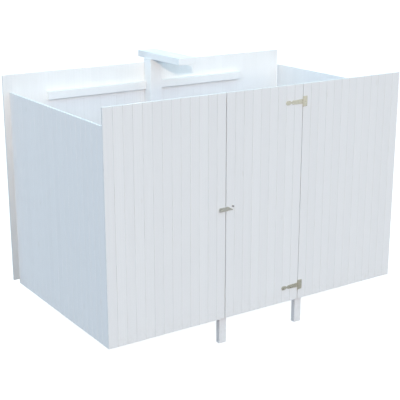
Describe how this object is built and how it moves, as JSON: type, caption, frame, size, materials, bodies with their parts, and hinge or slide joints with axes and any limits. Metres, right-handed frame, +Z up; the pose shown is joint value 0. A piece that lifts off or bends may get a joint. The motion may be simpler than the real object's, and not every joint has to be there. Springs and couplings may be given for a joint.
{
  "type": "carport storage shed",
  "caption": "Open-topped board shed for the back end of a carport: a ledged door on T hinges with a hasp, and a centre back post carrying a short stub of the roof beam.",
  "frame": {"origin": "middle of the bounding box in plan, at the level of the feet's soles", "axes": "+X to the right along the front wall seen from the front, +Y from the front wall to the back wall, +Z up"},
  "size_m": [3.665, 2.243, 2.72],
  "materials": {
    "white_painted_wood": "satin white outdoor paint on planed boards",
    "galvanised_steel": "dull zinc, lightly weathered",
    "dark_iron": "smooth grey"
  },
  "bodies": {
    "frame": {"front_wall_left": "white_painted_wood", "front_wall_right": "white_painted_wood", "left_wall": "white_painted_wood", "right_wall": "white_painted_wood", "back_wall": "white_painted_wood", "door_post_left": "white_painted_wood", "door_post_right": "white_painted_wood", "door_head_rail": "white_painted_wood", "back_post": "white_painted_wood", "roof_beam": "white_painted_wood", "back_upper_rail_left": "white_painted_wood", "back_upper_rail_right": "white_painted_wood", "back_lower_rail_left": "white_painted_wood", "back_lower_rail_right": "white_painted_wood", "left_upper_rail": "white_painted_wood", "left_lower_rail": "white_painted_wood", "right_upper_rail": "white_painted_wood", "right_lower_rail": "white_painted_wood", "front_left_upper_rail": "white_painted_wood", "front_left_lower_rail": "white_painted_wood", "front_right_upper_rail": "white_painted_wood", "front_right_lower_rail": "white_painted_wood", "front_left_corner_post": "white_painted_wood", "front_right_corner_post": "white_painted_wood", "back_left_corner_post": "white_painted_wood", "back_right_corner_post": "white_painted_wood", "top_hinge_plate": "galvanised_steel", "bottom_hinge_plate": "galvanised_steel", "top_hinge_pin": "galvanised_steel", "bottom_hinge_pin": "galvanised_steel", "hasp_staple": "galvanised_steel"},
    "door": {"door_boards": "white_painted_wood", "door_top_ledge": "white_painted_wood", "door_middle_ledge": "white_painted_wood", "door_bottom_ledge": "white_painted_wood", "door_upper_brace": "white_painted_wood", "door_lower_brace": "white_painted_wood", "top_hinge_strap": "galvanised_steel", "bottom_hinge_strap": "galvanised_steel", "hasp_flange": "galvanised_steel", "hasp_pin": "galvanised_steel", "door_knob": "dark_iron"},
    "hasp": {"hasp_leaf": "galvanised_steel"}
  },
  "joints": [
    {"name": "door_swing", "type": "hinge", "parent": "frame", "child": "door", "pos_m": [0.5045, -1.1005, 1.42], "axis": [0, 0, 1], "range_deg": [0, 150]},
    {"name": "hasp_swing", "type": "hinge", "parent": "door", "child": "hasp", "pos_m": [-0.4225, -1.1005, 1.432], "axis": [0, 0, 1], "range_deg": [0, 120]}
  ]
}
